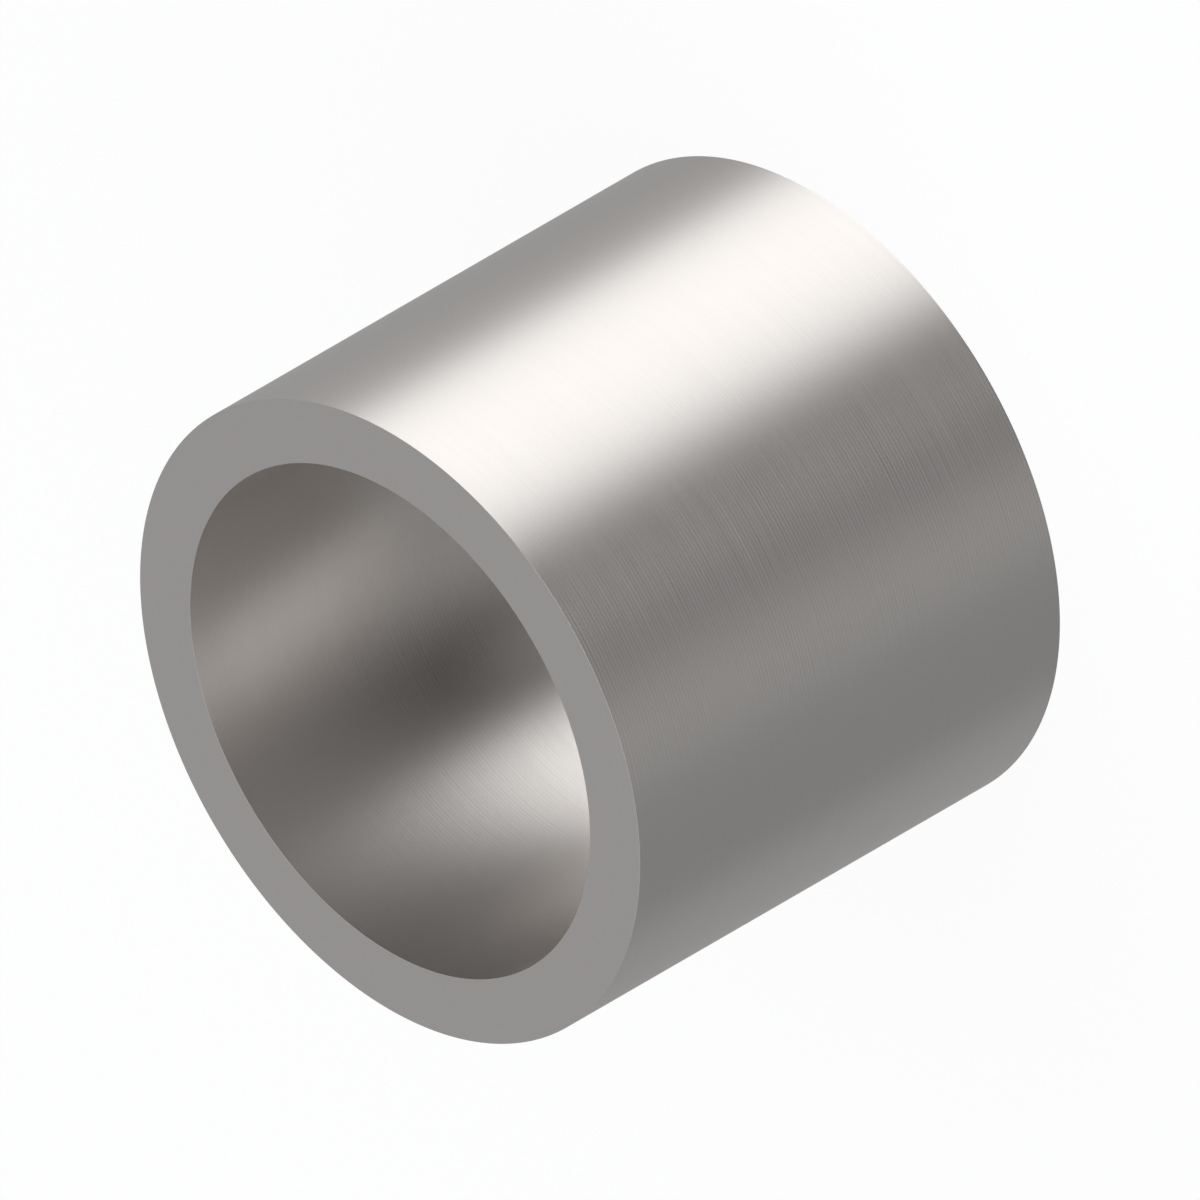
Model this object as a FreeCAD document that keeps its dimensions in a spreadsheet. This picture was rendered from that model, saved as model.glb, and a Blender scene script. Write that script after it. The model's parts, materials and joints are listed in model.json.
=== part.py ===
import FreeCAD, Part
import math
import os
import Sketcher

# Spacer sleeve: a plain round tube that slides onto a shaft and keeps two parts a fixed
# distance apart. It is one piece of metal, cut to length, faced square at both ends and
# deburred so finely that its rims look sharp. It stands on one end: the origin is the centre
# of the lower end face, and +Z runs up the bore. Lengths are in millimetres.

NODE = "spacer_sleeve"
FULL_TURN = 360.0

# The driving dimensions. The outer diameter is the bore and a wall on each side of it.
SIZES = {
    "bore_diameter": 20.0,
    "wall_thickness": 2.5,
    "sleeve_length": 21.0,
    "outer_edge_break": 0.05,
    "bore_edge_break": 0.05,
}


def size_sheet(doc):
    """A sheet with one row for each driving dimension: its name, and its value under an alias."""
    sheet = doc.addObject("Spreadsheet::Sheet", "sizes")
    for row, (alias, value) in enumerate(SIZES.items(), start=1):
        sheet.set(f"A{row}", alias.replace("_", " "))
        sheet.set(f"B{row}", str(value))
        sheet.setAlias(f"B{row}", alias)
    doc.recompute()
    return sheet


def wall_section(body, sheet):
    """Half of the sleeve cut along its axis: the wall, as a rectangle beside the axis.

    The sketch lies on the body's XZ plane, so its x is a radius and its y is a height. The
    lower end face lies on the x axis, and the bore's radius is measured from the origin.
    """
    sketch = body.newObject("Sketcher::SketchObject", "wall_section")
    plane = next(item for item in body.Origin.OriginFeatures if item.Role == "XZ_Plane")
    sketch.AttachmentSupport = [(plane, "")]
    sketch.MapMode = "FlatFace"

    inner = sheet.bore_diameter / 2
    wall = sheet.wall_thickness
    length = sheet.sleeve_length
    corners = [
        FreeCAD.Vector(inner, 0, 0),
        FreeCAD.Vector(inner + wall, 0, 0),
        FreeCAD.Vector(inner + wall, length, 0),
        FreeCAD.Vector(inner, length, 0),
    ]
    sides = [
        sketch.addGeometry(Part.LineSegment(corner, following), False)
        for corner, following in zip(corners, corners[1:] + corners[:1])
    ]
    lower_face, outer_wall, upper_face, bore_wall = sides

    # A side's ends are points 1 and 2, and the origin is point 1 of the x axis, side -1
    start, end = 1, 2
    x_axis = -1
    for side, following in zip(sides, sides[1:] + sides[:1]):
        sketch.addConstraint(Sketcher.Constraint("Coincident", side, end, following, start))
    for face in (lower_face, upper_face):
        sketch.addConstraint(Sketcher.Constraint("Horizontal", face))
    for side_wall in (outer_wall, bore_wall):
        sketch.addConstraint(Sketcher.Constraint("Vertical", side_wall))
    sketch.addConstraint(Sketcher.Constraint("PointOnObject", lower_face, start, x_axis))

    bore_radius = sketch.addConstraint(
        Sketcher.Constraint("DistanceX", x_axis, start, lower_face, start, inner)
    )
    wall_width = sketch.addConstraint(
        Sketcher.Constraint("DistanceX", lower_face, start, lower_face, end, wall)
    )
    wall_height = sketch.addConstraint(
        Sketcher.Constraint("DistanceY", outer_wall, start, outer_wall, end, length)
    )
    sketch.setExpression(f"Constraints[{bore_radius}]", "sizes.bore_diameter / 2")
    sketch.setExpression(f"Constraints[{wall_width}]", "sizes.wall_thickness")
    sketch.setExpression(f"Constraints[{wall_height}]", "sizes.sleeve_length")
    return sketch


def rims(shape, radius):
    """The names of the sleeve's round edges of this radius: one at each end."""
    names = []
    for number, edge in enumerate(shape.Edges, start=1):
        if isinstance(edge.Curve, Part.Circle) and math.isclose(edge.Curve.Radius, radius):
            names.append(f"Edge{number}")
    return names


def edge_break(body, name, base, radius, depth):
    """A 45 degree break on both rims of this radius, as deep as the size named depth."""
    chamfer = body.newObject("PartDesign::Chamfer", name)
    chamfer.Base = (base, rims(base.Shape, radius))
    chamfer.setExpression("Size", f"sizes.{depth}")
    body.Document.recompute()
    return chamfer


def sleeve(doc, sheet):
    """The sleeve: its wall turned about the axis, then its outer and inner rims broken."""
    body = doc.addObject("PartDesign::Body", NODE)
    section = wall_section(body, sheet)
    doc.recompute()

    tube = body.newObject("PartDesign::Revolution", "tube")
    tube.Profile = section
    tube.ReferenceAxis = (section, ["V_Axis"])
    tube.Angle = FULL_TURN
    doc.recompute()

    bore_radius = sheet.bore_diameter / 2
    outer_radius = bore_radius + sheet.wall_thickness
    outside_broken = edge_break(body, "outer_rims", tube, outer_radius, "outer_edge_break")
    edge_break(body, "bore_rims", outside_broken, bore_radius, "bore_edge_break")

    body.Label = NODE
    body.Placement = FreeCAD.Placement()
    return body


def check(doc, body):
    """Stops the build if a feature failed, or if the sleeve isn't one sound solid."""
    for item in doc.Objects:
        if {"Invalid", "Error"} & set(item.State):
            raise RuntimeError(f"{item.Label} failed: {item.State}")
    shape = body.Shape
    if shape.isNull() or not shape.isValid() or len(shape.Solids) != 1:
        raise RuntimeError(f"{body.Label} isn't one sound solid")


document = FreeCAD.newDocument("spacer_sleeve")
sizes = size_sheet(document)
spacer_sleeve = sleeve(document, sizes)
document.recompute()
check(document, spacer_sleeve)

os.makedirs("parts", exist_ok=True)
spacer_sleeve.Shape.exportStep(os.path.join("parts", f"{NODE}.step"))
box = spacer_sleeve.Shape.BoundBox
print(f"{NODE}: {box.XLength:.2f} x {box.YLength:.2f} x {box.ZLength:.2f} mm")
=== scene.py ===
import json
import math

import bpy
import numpy as np
from mathutils import Matrix, Vector


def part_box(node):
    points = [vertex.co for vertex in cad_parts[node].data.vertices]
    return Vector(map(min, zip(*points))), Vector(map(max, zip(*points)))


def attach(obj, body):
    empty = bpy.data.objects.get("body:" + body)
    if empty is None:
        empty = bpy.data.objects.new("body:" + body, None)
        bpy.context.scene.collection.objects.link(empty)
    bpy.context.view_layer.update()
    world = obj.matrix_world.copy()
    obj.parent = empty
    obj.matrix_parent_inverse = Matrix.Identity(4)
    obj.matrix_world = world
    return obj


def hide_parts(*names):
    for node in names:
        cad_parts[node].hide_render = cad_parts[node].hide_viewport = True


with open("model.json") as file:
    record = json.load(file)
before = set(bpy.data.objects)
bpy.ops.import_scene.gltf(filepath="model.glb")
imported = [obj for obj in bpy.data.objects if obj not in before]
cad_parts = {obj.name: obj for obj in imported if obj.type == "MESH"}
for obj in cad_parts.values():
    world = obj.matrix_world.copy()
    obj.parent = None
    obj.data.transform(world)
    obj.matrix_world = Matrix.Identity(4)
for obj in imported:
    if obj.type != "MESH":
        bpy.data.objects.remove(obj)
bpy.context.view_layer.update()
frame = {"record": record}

# Spacer sleeve.
# The real one is a plain round tube of stainless steel. A lathe cuts it from the bar, bores it
# and faces it square at both ends, and its rims are deburred so finely that they look sharp.

NODE = "spacer_sleeve"
FULL_TURN = 2 * math.pi
low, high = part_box(NODE)
outer_radius = (high.x - low.x) / 2
length = high.z - low.z
bore = next(mount for mount in frame["record"]["mounts"] if mount["name"] == "bore")
bore_radius = bore["dims"]["r_mm"] * 1e-3
# Lengths are in metres. So small a radius draws no line of light round the rims
RIM_RADIUS = 0.006e-3
RIM_STEPS = 6
TURN_STEPS = 360


def sleeve_outline():
    """The wall's section: its points as radius and height, and the way that it faces there.

    It is a rectangle whose corners are quarter circles of RIM_RADIUS. Each point of a corner
    is the corner's centre plus RIM_RADIUS in the direction that the surface faces there. The
    outline runs from the bore's lower rim outwards, up, inwards, and down the bore again.
    """
    inner, outer = bore_radius + RIM_RADIUS, outer_radius - RIM_RADIUS
    bottom, top = low.z + RIM_RADIUS, high.z - RIM_RADIUS
    centres = np.array([(inner, bottom), (outer, bottom), (outer, top), (inner, top)])
    quarter = FULL_TURN / 4
    starts = quarter * np.array([2, 3, 4, 5])
    angles = (starts[:, None] + np.linspace(0, quarter, RIM_STEPS + 1)).ravel()
    facing = np.column_stack((np.cos(angles), np.sin(angles)))
    return np.repeat(centres, RIM_STEPS + 1, axis=0) + RIM_RADIUS * facing, facing


def turned_mesh(name, points, facing, turns):
    """A closed outline carried once round the Z axis, with its exact normals.

    A point at radius r and height z goes to (r cos a, r sin a, z) for each of the angles a.
    In the UV map, u is the share of the turn and v the distance along the outline, in metres.
    """
    angle = np.arange(turns) * FULL_TURN / turns
    outward = np.column_stack((np.cos(angle), np.sin(angle), np.zeros(turns)))
    upward = np.array([0, 0, 1])
    vertices = points[:, :1, None] * outward + points[:, 1:, None] * upward
    normals = facing[:, :1, None] * outward + facing[:, 1:, None] * upward

    rows = len(points)
    row, column = np.meshgrid(np.arange(rows), np.arange(turns), indexing="ij")
    row = np.stack((row, row, row + 1, row + 1), axis=-1)
    column = np.stack((column, column + 1, column + 1, column), axis=-1)
    faces = row % rows * turns + column % turns
    steps = np.linalg.norm(np.roll(points, -1, axis=0) - points, axis=1)
    distance = np.concatenate(([0], np.cumsum(steps)))

    mesh = bpy.data.meshes.new(name)
    mesh.from_pydata(vertices.reshape(-1, 3).tolist(), [], faces.reshape(-1, 4).tolist())
    uv = np.stack((column / turns, distance[row]), axis=-1)
    mesh.uv_layers.new(name="along_outline").uv.foreach_set("vector", uv.ravel())
    mesh.shade_smooth()
    mesh.normals_split_custom_set_from_vertices(normals.reshape(-1, 3).tolist())
    return mesh


def linear(hex_colour):
    """The linear colour, with an alpha of 1, of an sRGB hex value."""
    srgb = np.array([int(hex_colour[start:start + 2], 16) for start in (1, 3, 5)]) / 255
    rgb = np.where(srgb <= 0.04045, srgb / 12.92, ((srgb + 0.055) / 1.055) ** 2.4)
    return (*rgb, 1.0)


def add_node(tree, kind, inputs, **settings):
    """Adds a node with its settings, and gives its inputs their values or their links."""
    node = tree.nodes.new(kind)
    for setting, value in settings.items():
        setattr(node, setting, value)
    for socket, value in inputs.items():
        if isinstance(value, bpy.types.NodeSocket):
            tree.links.new(value, node.inputs[socket])
        else:
            node.inputs[socket].default_value = value
    return node


# Satin-turned stainless steel: the metal's own faintly warm grey. Emery held against the
# turning sleeve leaves fine scratches round it, which blur what it mirrors into soft bands.
# The scratches are drawn coarser than emery's real ones, so that they show. The feed is that of
# a finishing cut, and the emery has worn its marks almost away.
STEEL = "#D8D4D1"
STEEL_IN_SCRATCH = "#D5D1CE"
SCRATCH_LENGTH = 6e-3
SCRATCH_PITCH = 0.09e-3
SCRATCH_DEPTH = 2e-6
FEED_PITCH = 0.15e-3
FEED_DEPTH = 0.3e-6
SMOOTHEST, ROUGHEST = 0.33, 0.39


def satin_turned_stainless_steel():
    """Steel whose scratches and feed marks follow the outline that was turned."""
    material = bpy.data.materials.new("satin_turned_stainless_steel")
    material.use_nodes = True
    tree = material.node_tree
    shader = tree.nodes["Principled BSDF"]
    shader.inputs["Metallic"].default_value = 1.0

    place = add_node(tree, "ShaderNodeTexCoord", {}).outputs["Object"]
    place = add_node(tree, "ShaderNodeVectorMath", {0: place, "Scale": 1 / SCRATCH_LENGTH},
                     operation="SCALE")
    place = add_node(tree, "ShaderNodeSeparateXYZ", {0: place.outputs[0]})
    outline = add_node(tree, "ShaderNodeUVMap", {}, uv_map="along_outline")
    outline = add_node(tree, "ShaderNodeSeparateXYZ", {0: outline.outputs["UV"]})
    turn_share, distance = outline.outputs["X"], outline.outputs["Y"]

    # Scratches are long round the sleeve and narrow along its outline
    across = add_node(tree, "ShaderNodeMath", {0: distance, 1: SCRATCH_PITCH}, operation="DIVIDE")
    spot = add_node(tree, "ShaderNodeCombineXYZ",
                    {"X": place.outputs["X"], "Y": place.outputs["Y"], "Z": across.outputs[0]})
    scratches = add_node(tree, "ShaderNodeTexNoise",
                         {"Vector": spot.outputs[0], "Scale": 1.0, "Detail": 2.0}).outputs["Fac"]

    # The tool's spiral moves on by one FEED_PITCH at each turn
    feed = add_node(tree, "ShaderNodeMath", {0: distance, 1: 1 / FEED_PITCH, 2: turn_share},
                    operation="MULTIPLY_ADD")
    feed = add_node(tree, "ShaderNodeMath", {0: feed.outputs[0], 1: FULL_TURN}, operation="MULTIPLY")
    feed = add_node(tree, "ShaderNodeMath", {0: feed.outputs[0]}, operation="SINE")

    steel = add_node(tree, "ShaderNodeValToRGB", {"Fac": scratches})
    steel.color_ramp.elements[0].color = linear(STEEL_IN_SCRATCH)
    steel.color_ramp.elements[1].color = linear(STEEL)
    tree.links.new(steel.outputs["Color"], shader.inputs["Base Color"])

    roughness = add_node(tree, "ShaderNodeMapRange",
                         {"Value": scratches, "To Min": ROUGHEST, "To Max": SMOOTHEST})
    tree.links.new(roughness.outputs["Result"], shader.inputs["Roughness"])

    scratched = add_node(tree, "ShaderNodeBump", {"Height": scratches, "Distance": SCRATCH_DEPTH})
    turned = add_node(tree, "ShaderNodeBump", {"Height": feed.outputs[0], "Distance": FEED_DEPTH,
                                               "Normal": scratched.outputs["Normal"]})
    tree.links.new(turned.outputs["Normal"], shader.inputs["Normal"])
    return material


def add_object(name, data):
    """An object at the origin, unturned and unscaled, in the scene's collection."""
    thing = bpy.data.objects.new(name, data)
    bpy.context.scene.collection.objects.link(thing)
    return thing


sleeve = add_object("sleeve", turned_mesh("sleeve", *sleeve_outline(), TURN_STEPS))
sleeve.data.materials.append(satin_turned_stainless_steel())
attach(sleeve, "root")
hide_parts(NODE)

# Floor.
# A matt white sheet that the sleeve stands on. Like the photo's background it is seen as plain
# white: OVEREXPOSED is that white's share, and the rest keeps a trace of the sleeve's shadow.

FLOOR_WHITE = "#FAFAFA"
FLOOR_HALF = 2.0
OVEREXPOSED = 0.9
corners = [(x * FLOOR_HALF, y * FLOOR_HALF, low.z) for x, y in ((-1, -1), (1, -1), (1, 1), (-1, 1))]
sheet = bpy.data.meshes.new("floor")
sheet.from_pydata(corners, [], [(0, 1, 2, 3)])
material = bpy.data.materials.new("matt_white_sheet")
material.use_nodes = True
tree = material.node_tree
lit = tree.nodes["Principled BSDF"]
lit.inputs["Base Color"].default_value = linear(FLOOR_WHITE)
lit.inputs["Roughness"].default_value = 1.0
seen = add_node(tree, "ShaderNodeLightPath", {}).outputs["Is Camera Ray"]
seen = add_node(tree, "ShaderNodeMath", {0: seen, 1: OVEREXPOSED}, operation="MULTIPLY")
white = add_node(tree, "ShaderNodeEmission", {"Strength": 1.0})
surface = add_node(tree, "ShaderNodeMixShader",
                   {0: seen.outputs[0], 1: lit.outputs[0], 2: white.outputs[0]})
tree.links.new(surface.outputs[0], tree.nodes["Material Output"].inputs["Surface"])
sheet.materials.append(material)
floor = add_object("floor", sheet)
# Part of the light comes from below the floor's level, so the floor doesn't stop it
floor.visible_glossy = False
floor.visible_shadow = False

# Studio light.
# The metal of the photo mirrors soft white from above, and a lamp and a bright field that stand
# low. Between them it mirrors dim sides and a dark ground. The world has these as soft fields.

# A field is a soft-edged round part of the surroundings: the azimuth and elevation of its middle,
# its reach from there to its edge and half of that edge's width, all in degrees, and its colour
# and strength. Each lies over those before it, and the ground shows where there is none.
GROUND = "#140C06"
FIELDS = {
    "far_corner": (-137, -45, 15, 10, "#FAFFFF", 0.37),
    "white_sky": (0, 90, 80, 10, "#F8FCFF", 1.2),
    "low_lamp": (-45, -12, 13.5, 7, "#FFFFFF", 1.6),
    "bright_field": (22, -35, 29, 9, "#FFFFFF", 1.64),
    "dim_side": (134, -5, 72.5, 6, "#FFFFFF", 0.388),
    "faint_field": (-88.5, -10, 19, 20, "#FFFFFF", 0.68),
}

world = bpy.data.worlds.new("studio")
bpy.context.scene.world = world
world.use_nodes = True
tree = world.node_tree
studio = tree.nodes["Background"]
studio.inputs["Color"].default_value = linear(GROUND)
direction = add_node(tree, "ShaderNodeTexCoord", {}).outputs["Generated"]
for name, (azimuth, elevation, reach, soft, colour, strength) in FIELDS.items():
    turn, rise = math.radians(azimuth), math.radians(elevation)
    middle = (math.cos(rise) * math.cos(turn), math.cos(rise) * math.sin(turn), math.sin(rise))
    nearness = add_node(tree, "ShaderNodeVectorMath", {0: direction, 1: middle},
                        operation="DOT_PRODUCT")
    share = add_node(tree, "ShaderNodeMapRange",
                     {"Value": nearness.outputs["Value"],
                      "From Min": math.cos(math.radians(reach + soft)),
                      "From Max": math.cos(math.radians(reach - soft))},
                     interpolation_type="SMOOTHSTEP")
    field = add_node(tree, "ShaderNodeBackground", {"Color": linear(colour), "Strength": strength},
                     label=name)
    studio = add_node(tree, "ShaderNodeMixShader",
                      {0: share.outputs["Result"], 1: studio.outputs[0], 2: field.outputs[0]})
seen = add_node(tree, "ShaderNodeLightPath", {}).outputs["Is Camera Ray"]
white = add_node(tree, "ShaderNodeBackground", {"Color": linear("#FFFFFF")})
studio = add_node(tree, "ShaderNodeMixShader", {0: seen, 1: studio.outputs[0], 2: white.outputs[0]})
tree.links.new(studio.outputs[0], tree.nodes["World Output"].inputs["Surface"])

# Camera.
# An isometric view of the upper end, rolled so that the sleeve's axis lies as in the photo,
# with the sleeve SLEEVE_PX wide in a picture that is PHOTO_PX wide.

TO_CAMERA = Vector((1, -1, 1)).normalized()
PICTURE_UP = Vector((2, 1, -1)).normalized()
PHOTO_PX = 1200
SLEEVE_PX = 920
DISTANCE = 0.3
view = bpy.data.cameras.new("camera")
view.type = "ORTHO"
# Seen along that direction, the sleeve is its diameter and its length wide, each over root 2
view.ortho_scale = (2 * outer_radius + length) / math.sqrt(2) * PHOTO_PX / SLEEVE_PX
camera = add_object("camera", view)
camera.matrix_world = Matrix((PICTURE_UP.cross(TO_CAMERA), PICTURE_UP, TO_CAMERA)).transposed().to_4x4()
camera.location = Vector((0, 0, (low.z + high.z) / 2)) + DISTANCE * TO_CAMERA
bpy.context.scene.camera = camera
bpy.context.scene.view_settings.view_transform = "Standard"
